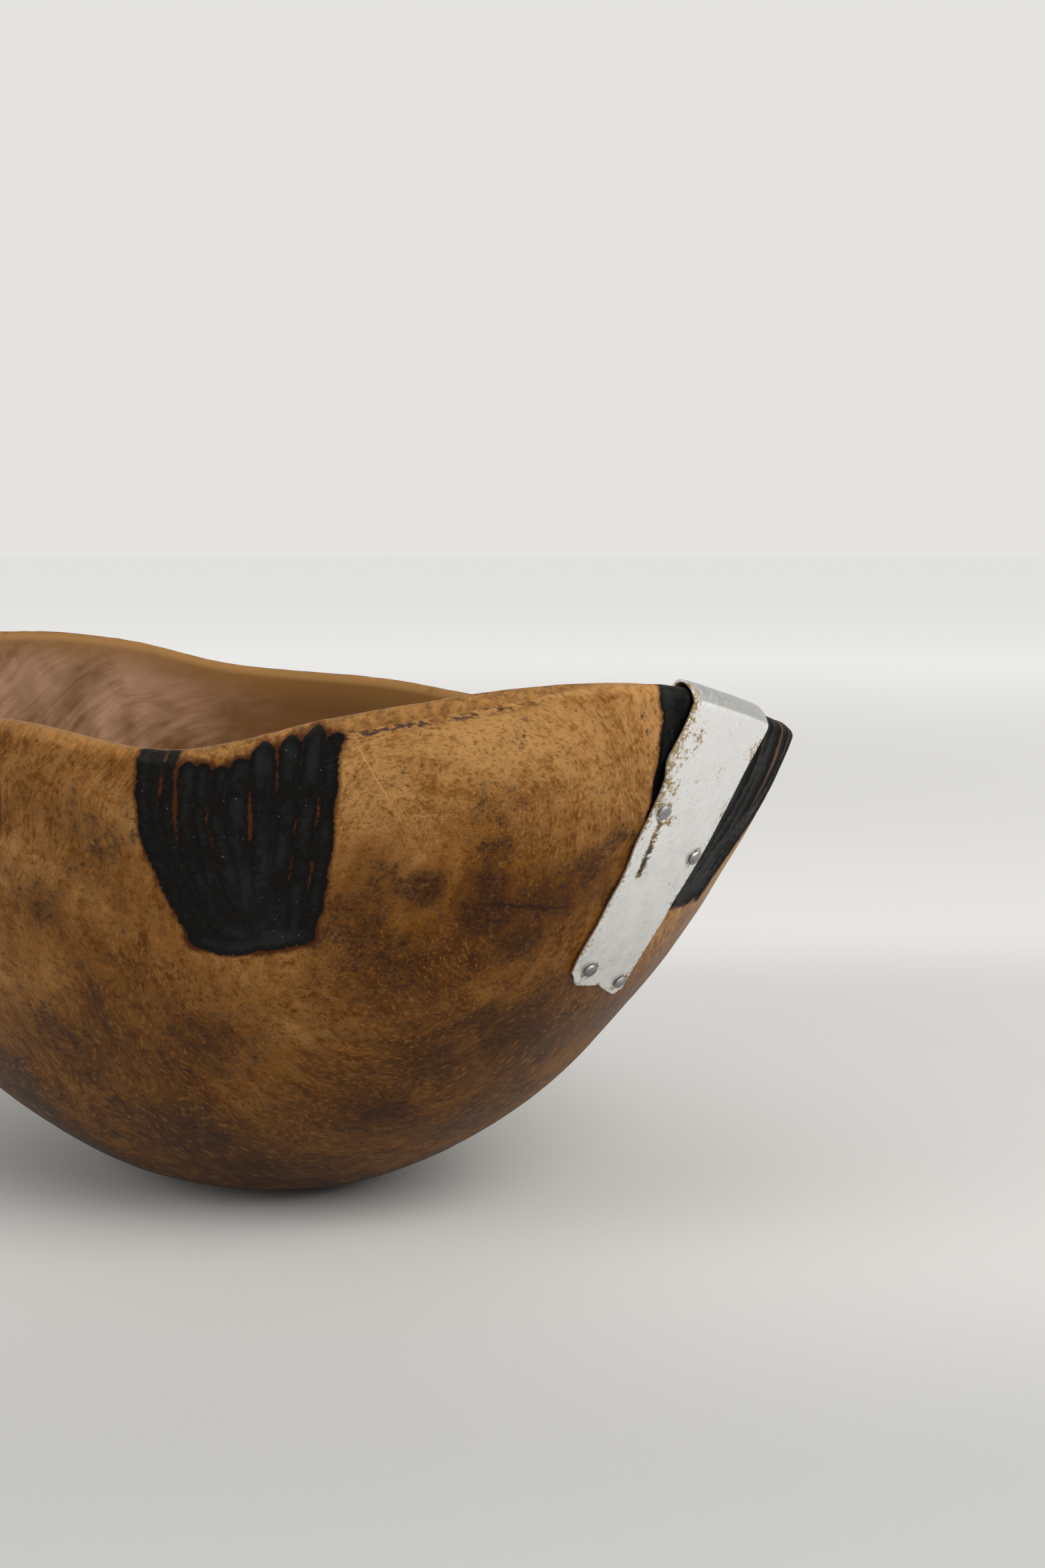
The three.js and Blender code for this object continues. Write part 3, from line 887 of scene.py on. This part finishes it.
def wood_material():
    """Old waxed wood with stains, a worn lip and burnt strokes; the fields on the mesh say where."""
    s = Shader("waxed_wood")
    place = s.place()
    offset = s.vector("SUBTRACT", place, KNOT)
    warp = s.vector("SUBTRACT", s.noise(place, 0.02, 2.0, 0.5, output="Color"), (0.5, 0.5, 0.5))
    bent = s.vector("ADD", offset, s.scaled(warp, 26))
    side = s.vector("DOT_PRODUCT", bent, tuple(ACROSS_PITH))
    up = s.vector("DOT_PRODUCT", bent, tuple(UP_PITH))
    deep = s.vector("DOT_PRODUCT", bent, tuple(PITH))
    radius = s.math("SQRT", s.plus(s.times(side, side), s.times(up, up)))
    turn_down = s.math("ARCTAN2", side, up)
    turn_up = s.math("ARCTAN2", s.times(side, -1.0), s.times(up, -1.0))
    upper = s.span(up, -14, 14)

    def round_noise(across, around, length, detail=2.0):
        """Noise drawn out along the growth rings; two copies hide each other's seam."""
        spots = []
        for turn in (turn_up, turn_down):
            where = s.join(s.times(radius, across), s.times(turn, around), s.times(deep, length))
            spots.append(s.noise(where, 1.0, detail, 0.6))
        return s.blend(upper, spots[0], spots[1])

    flecks = round_noise(1.7, 27.0, 0.4, 4.0)
    strands = round_noise(0.55, 5.0, 0.05, 5.0)
    rings = s.math("SINE", s.plus(s.times(radius, 1.25), s.times(strands, 7.0)))
    cloud = s.noise(place, 0.020, 6.0, 0.62, 0.5)
    mottle = s.noise(place, 0.14, 8.0, 0.74, 0.3)
    grime = s.noise(place, 0.52, 6.0, 0.76)

    # Tone: blotchy brown, lighter above and darker towards the foot; the darkening towards the foot is
    # painted shade where the wall turns under.
    x, y, z = s.split(place)
    tone = s.plus(s.times(cloud, 1.60), s.times(mottle, 0.85), s.times(grime, 1.15))
    tone = s.plus(tone, s.times(strands, 0.50), s.times(rings, 0.040), s.span(z, 5, 95, -0.66, -0.25))
    # Lighter high up on each side of the strap, and at the tip below it.
    paler = s.times(s.span(z, 96, 126), s.span(x, 80, 125))
    tip = s.times(s.span(z, 35, 75), s.span(x, 112, 142), s.span(y, -26, -8))
    paler = s.math("MAXIMUM", paler, tip)
    tone = s.plus(tone, s.times(paler, 0.40))
    stops = [(0.05, WOOD_DARK), (0.42, WOOD_MID), (0.74, WOOD_LIGHT), (1.0, WOOD_PALE)]
    base = s.ramp(s.span(tone, 1.10, 2.40), stops)
    bright_fleck = s.span(flecks, 0.52, 0.70)
    dark_fleck = s.span(flecks, 0.48, 0.30)
    fleck_tone = s.mix(paler, FLECK, WOOD_PALE)
    base = s.mix(s.times(bright_fleck, 0.62), base, fleck_tone)
    base = s.mix(s.times(dark_fleck, 0.60), base, WOOD_DARK)
    # Golden patches where the surface is worn.
    gold = s.span(s.noise(place, 0.045, 7.0, 0.7, 0.4), 0.52, 0.68)
    base = s.mix(s.times(gold, 0.50), base, GOLD_PATCH)

    # Purple-brown stains with ragged edges.
    ragged = s.plus(s.times(mottle, 2.2), s.times(grime, 1.9), s.times(strands, 0.9))
    stain = s.span(s.plus(s.field("stain"), ragged), 2.60, 3.20, 0.0, 0.92)
    stain = s.times(stain, s.span(s.noise(place, 0.8, 5.0, 0.78), 0.38, 0.60, 0.60, 1.0))
    base = s.mix(stain, base, STAIN)

    # The inside: pale and pinkish at the end away from the strap, darker brown towards it, golden near the
    # lip.
    crest_gap = s.field("crest_gap")
    inside_cloud = s.noise(place, 0.022, 4.0, 0.6, 0.5)
    inside = s.ramp(s.span(s.plus(inside_cloud, s.times(strands, 0.35)), 0.45, 0.95),
                    [(0.0, INSIDE_BROWN), (1.0, INSIDE_PALE_PINK)])
    golden = s.plus(x, s.times(s.minus(inside_cloud, 0.5), 120))
    inside = s.mix(s.span(golden, -120, -80, 0.0, 0.92), inside, INSIDE_BROWN)
    inside = s.mix(s.span(crest_gap, 16, 4, 0.0, 0.75), inside, INSIDE_RIM)
    inside = s.mix(s.span(crest_gap, 5.5, 3.2, 0.0, 0.85), inside, INSIDE_CREST)
    inside = s.mix(s.span(s.noise(place, 0.05, 4.0, 0.65), 0.56, 0.74, 0.0, 0.6), inside, WOOD_DARK)
    base = s.mix(s.field("outside"), inside, base)

    # The lip and its bevel are worn to lighter, open-grained wood with dark pores.
    worn_edge = s.plus(s.field("worn"), s.times(s.minus(grime, 0.5), 1.6))
    worn = s.span(worn_edge, -0.25, 0.45)
    pores = s.span(s.cells(s.vector("MULTIPLY", place, (1.0, 1.0, 1.6)), 2.1), 0.32, 0.10)
    lip_wood = s.mix(s.span(grime, 0.35, 0.62), LIP_BROWN, WOOD_GOLD)
    lip_wood = s.mix(s.times(pores, 0.55), lip_wood, WOOD_DARK)
    base = s.mix(s.times(worn, 0.9), base, lip_wood)
    # Just under the bevel the wood is pitted and dark.
    pitted = s.times(s.span(worn_edge, -2.6, -1.2), s.span(worn_edge, 0.4, -0.4))
    pits = s.span(s.noise(s.vector("MULTIPLY", place, (0.4, 0.4, 1.1)), 0.8, 5.0, 0.75), 0.47, 0.56)
    pitted = s.times(pitted, pits, s.field("pitted"))
    base = s.mix(s.times(pitted, 0.85), base, PIT)

    # Two straight marks: a pale scratch and a dark crack.
    pale = s.segment(place, (123, -83, 137), (126, -74, 122), 0.22, 1.2)
    base = s.mix(s.times(pale, 0.75), base, SCRATCH)
    dark = s.segment(place, (129, -51.5, 98), (140, -27, 95), 0.7, 3.0)
    base = s.mix(s.times(dark, 0.8), base, STAIN)

    # The burnt strokes, with a scorched halo and thin streaks that the iron missed.
    burn = s.field("burn")
    fray = s.times(s.minus(s.noise(place, 1.1, 4.0, 0.65), 0.5), 0.9)
    patchy = s.times(s.minus(s.noise(place, 0.13, 2.0), 0.5), 1.5)
    frayed = s.plus(burn, fray, s.times(patchy, s.span(burn, -1.2, -0.3)))
    ridge = s.span(s.field("between"), -2.4, -0.9)
    scorched = s.times(s.span(frayed, -1.2, -0.2), 0.75)
    charred = s.span(frayed, -0.22, 0.05)
    base = s.mix(scorched, base, SCORCH)
    base = s.mix(s.times(ridge, 0.96), base, UNBURNT_RIDGE)
    # Painted sheen: the crowns of the strokes and random patches of the char are greyed towards bluish grey,
    # standing for light glancing off it as well as ash.
    ash_and_sheen = s.noise(s.vector("MULTIPLY", place, (1.0, 1.0, 0.45)), 0.9, 5.0, 0.75)
    crown_sheen = s.times(s.span(burn, 0.5, 1.9), s.span(mottle, 0.38, 0.62))
    coal = s.mix(s.times(crown_sheen, 0.45), CHAR, CHAR_ASH_AND_SHEEN)
    coal = s.mix(s.span(ash_and_sheen, 0.50, 0.82, 0.0, 0.6), coal, CHAR_ASH_AND_SHEEN)
    crumbs = s.span(s.cells(place, 0.55), 0.13, 0.05)
    crumbs = s.times(crumbs, s.span(s.noise(place, 0.12, 2.0), 0.5, 0.62))
    coal = s.mix(s.times(crumbs, 0.5), coal, CRUMB)
    base = s.mix(charred, base, coal)

    s.set("Base Color", base)
    shine = s.plus(s.span(cloud, 0.3, 0.7, 0.36, 0.52), s.times(stain, 0.05), s.times(worn, 0.16))
    shine = s.blend(s.field("outside"), 0.50, shine)
    s.set("Roughness", s.blend(charred, shine, s.span(ash_and_sheen, 0.35, 0.7, 0.42, 0.62)))
    s.set("Specular IOR Level", 0.10)
    s.set("Specular Tint", (1.0, 0.86, 0.70, 1.0))

    fine = s.plus(s.times(flecks, 0.8), s.times(grime, 0.5))
    fine = s.plus(fine, s.times(worn, pores, -0.9), s.times(dark, -0.7), s.times(pale, -0.4))
    low = s.bump(fine, 0.16, 0.55)
    crackle = s.plus(s.times(ash_and_sheen, 1.3), s.times(fray, 0.3))
    edge = s.bump(s.times(crackle, charred), 0.35, 0.6, low)
    s.set("Normal", edge)
    return s.material


# ---------------- metals

BRIGHT_SCRATCH = (0.96, 0.96, 0.95)
# Painted shade for the top of the fold.
FOLD_PAINTED_SHADE = (0.42, 0.42, 0.405)
TARNISH = (0.20, 0.125, 0.028)
TORN_HIGH = (0.105, 0.055, 0.009)
TORN_LOW = (0.026, 0.017, 0.007)


def metal_material(name, tone, dull_and_shade, roughness, edge_grime):
    """Worn sheet metal: scratches both ways, darker low down as painted shade, with brown grime in places.
    """
    s = Shader(name)
    place = s.place()
    lean = s.vector("MULTIPLY", place, (1.0, 3.2, 0.25))
    scratch = s.noise(lean, 0.9, 5.0, 0.75)
    slant = s.join(
        s.times(s.vector("DOT_PRODUCT", place, (0.2, -0.45, 0.87)), 2.8),
        s.times(s.vector("DOT_PRODUCT", place, (0.2, 0.87, 0.45)), 0.22), 0.0,
    )
    cross = s.noise(slant, 1.0, 5.0, 0.75)
    cloud = s.noise(place, 0.12, 8.0, 0.74)
    grain = s.noise(place, 0.75, 5.0, 0.78)
    height = s.split(place)[2]
    # Dull patches at random, plus painted shade that darkens the sheet from the top of the strap downwards.
    dullness_and_shade = s.math(
        "ADD", s.span(cloud, 0.34, 0.66, 0.0, 0.6), s.span(height, 130, 66, -0.25, 0.45), clamp=True,
    )
    colour = s.mix(dullness_and_shade, tone, dull_and_shade)
    # The top of the fold is greyed as painted shade.
    colour = s.mix(s.times(s.field("fold"), 0.85), colour, FOLD_PAINTED_SHADE)
    colour = s.mix(s.span(scratch, 0.50, 0.34, 0.0, 0.35), colour, dull_and_shade)
    colour = s.mix(s.span(cross, 0.54, 0.70, 0.0, 0.60), colour, BRIGHT_SCRATCH)
    colour = s.mix(s.span(cross, 0.44, 0.30, 0.0, 0.35), colour, dull_and_shade)
    near_edge = s.span(s.field("edge_gap"), 2.2, 0.0, 0.0, edge_grime)
    blot = s.plus(s.times(cloud, 0.7), s.times(grain, 1.5), near_edge, s.times(s.field("grime"), 0.32))
    tarnish = s.span(blot, 1.24, 1.44)
    colour = s.mix(s.times(tarnish, 0.97), colour, TARNISH)
    split = s.span(s.plus(s.field("split"), s.times(grain, 3.0)), 2.0, 2.5)
    torn = s.mix(s.span(height, 112, 107), TORN_HIGH, TORN_LOW)
    colour = s.mix(s.times(split, 0.98), colour, torn)
    s.set("Base Color", colour)
    s.set("Metallic", s.minus(1.0, s.times(s.math("MAXIMUM", tarnish, split), 0.9)))
    rough = s.span(cloud, 0.35, 0.65, roughness - 0.10, roughness + 0.10)
    s.set("Roughness", s.plus(rough, s.times(tarnish, 0.22)))
    relief = s.plus(s.times(scratch, 0.5), s.times(cross, 0.6), s.times(grain, 0.5), s.times(cloud, 3.0))
    s.set("Normal", s.bump(relief, 0.14, 0.7))
    return s.material


# ---------------- floor, light and camera

FLOOR_FRONT = (0.37, 0.37, 0.36)
FLOOR_NEAR = (0.49, 0.485, 0.47)
FLOOR_FAR_PAINTED_LIGHT = (0.95, 0.945, 0.93)
FLOOR_SPECK = (0.45, 0.44, 0.42)
FLOOR_REACH = 50000


def floor_material(towards):
    """Pale paint, a little greyer in front of the bowl, and paler away behind it as painted light that evens
    out the light falling off with distance.
    """
    s = Shader("pale_floor")
    place = s.place()
    distance = s.vector("LENGTH", place, (0, 0, 0))
    behind = s.vector("DOT_PRODUCT", place, tuple(towards))
    speck = s.noise(place, 0.35, 4.0, 0.6)
    base = s.mix(s.span(behind, -60, -220), FLOOR_NEAR, FLOOR_FRONT)
    # Painted light: the floor is paler behind the bowl and far away, where less light reaches it.
    base = s.mix(s.span(behind, 250, 420, 0.0, 0.22), base, FLOOR_FAR_PAINTED_LIGHT)
    base = s.mix(s.span(distance, 700, 3200), base, FLOOR_FAR_PAINTED_LIGHT)
    base = s.mix(s.span(speck, 0.4, 0.7, 0.0, 0.05), base, FLOOR_SPECK)
    s.set("Base Color", base)
    s.set("Roughness", 0.8)
    s.set("Specular IOR Level", 0.1)
    s.set("Normal", s.bump(speck, 0.12, 0.15))
    return s.material


def build_floor(material):
    """A big pale floor at the height of the foot."""
    corners = [(FLOOR_REACH * x, FLOOR_REACH * y, 0) for x, y in ((-1, -1), (1, -1), (1, 1), (-1, 1))]
    floor = mesh_object("pale_floor", corners, [[0, 1, 2, 3]], material)


def area_light(name, place, target, size, watts, colour):
    """A rectangular lamp at a place in metres, turned to its target."""
    lamp = bpy.data.lights.new(name, "AREA")
    lamp.shape = "RECTANGLE"
    lamp.size, lamp.size_y = size
    lamp.energy = watts
    lamp.color = colour
    add_object(name, lamp, place, target - place)


# The camera's direction from the bowl in degrees, its distance and height in millimetres, its downward
# pitch in degrees, how far it stands to the right of the bowl, and its lens.
CAMERA_ANGLE = -50.0
CAMERA_AWAY = 620.0
CAMERA_HEIGHT = 179.0
CAMERA_PITCH = 6.1
BOWL_LEFT_BY = 77.5
LENS = 50.0
FILM_WIDTH = 36


def build_camera():
    """A 50 mm lens low in front of the bowl, which stands to the left of the middle."""
    angle = math.radians(CAMERA_ANGLE)
    towards = Vector((-math.cos(angle), -math.sin(angle), 0))
    right = towards.cross(Vector((0, 0, 1)))
    data = bpy.data.cameras.new("camera")
    data.lens = LENS
    data.sensor_width = FILM_WIDTH
    data.clip_start = 0.01
    place = right * BOWL_LEFT_BY - towards * CAMERA_AWAY
    place.z = CAMERA_HEIGHT
    pitch = math.radians(CAMERA_PITCH)
    aim = towards * math.cos(pitch) - Vector((0, 0, math.sin(pitch)))
    bpy.context.scene.camera = add_object("camera", data, place * MM, aim)
    return towards, right


ROOM_LOW = (0.785, 0.775, 0.745, 1)
ROOM_HIGH = (0.34, 0.34, 0.34, 1)
WINDOW_WATTS = 66
SIDE_WATTS = 16
SKY_STRENGTH = 1.15


def build_light(towards, right):
    """A room that is pale near the horizon and dimmer overhead, two soft lamps and a wide sky light."""
    world = bpy.data.worlds.new("pale_room")
    world.use_nodes = True
    nodes, links = world.node_tree.nodes, world.node_tree.links
    direction = nodes.new("ShaderNodeTexCoord")
    split = nodes.new("ShaderNodeSeparateXYZ")
    links.new(direction.outputs["Generated"], split.inputs[0])
    ramp = nodes.new("ShaderNodeValToRGB")
    links.new(split.outputs[2], ramp.inputs[0])
    for element, position, colour in zip(ramp.color_ramp.elements, (0.30, 0.62), (ROOM_LOW, ROOM_HIGH)):
        element.position = position
        element.color = colour
    links.new(ramp.outputs[0], nodes["Background"].inputs["Color"])
    bpy.context.scene.world = world
    up = Vector((0, 0, 1))
    middle = Vector((0, 0, 0.08))
    window = right * 1.3 - towards * 1.5 + up * 1.5
    area_light("window", window, middle, (1.6, 1.4), WINDOW_WATTS, (1.0, 0.985, 0.96))
    side = -right * 1.6 - towards * 1.0 + up * 0.9
    area_light("side", side, middle, (1.2, 1.2), SIDE_WATTS, (0.97, 0.985, 1.0))
    sky = bpy.data.lights.new("skylight", "SUN")
    sky.energy = SKY_STRENGTH
    sky.angle = math.radians(100)
    add_object("skylight", sky)


# ---------------- assembly

toward_bowl, camera_right = build_camera()
build_light(toward_bowl, camera_right)
build_floor(floor_material(toward_bowl))

wood = wood_material()
sheet = metal_material("sheet_aluminium", (0.93, 0.93, 0.925), (0.66, 0.66, 0.64), 0.38, 0.16)
pin = metal_material("rivet_aluminium", (0.31, 0.31, 0.32), (0.17, 0.17, 0.165), 0.48, 0.0)

bowl = build_bowl(wood)
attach(bowl, "root")
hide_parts("bowl_body")

strap = build_strap(sheet)
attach(strap, "root")
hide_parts("repair_strap")

for number, seats in enumerate(rivet_frames(), 1):
    rivet = build_rivet(number, seats, pin)
    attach(rivet, "root")
    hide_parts(f"rivet_{number}")

bpy.context.scene.view_settings.view_transform = "Standard"
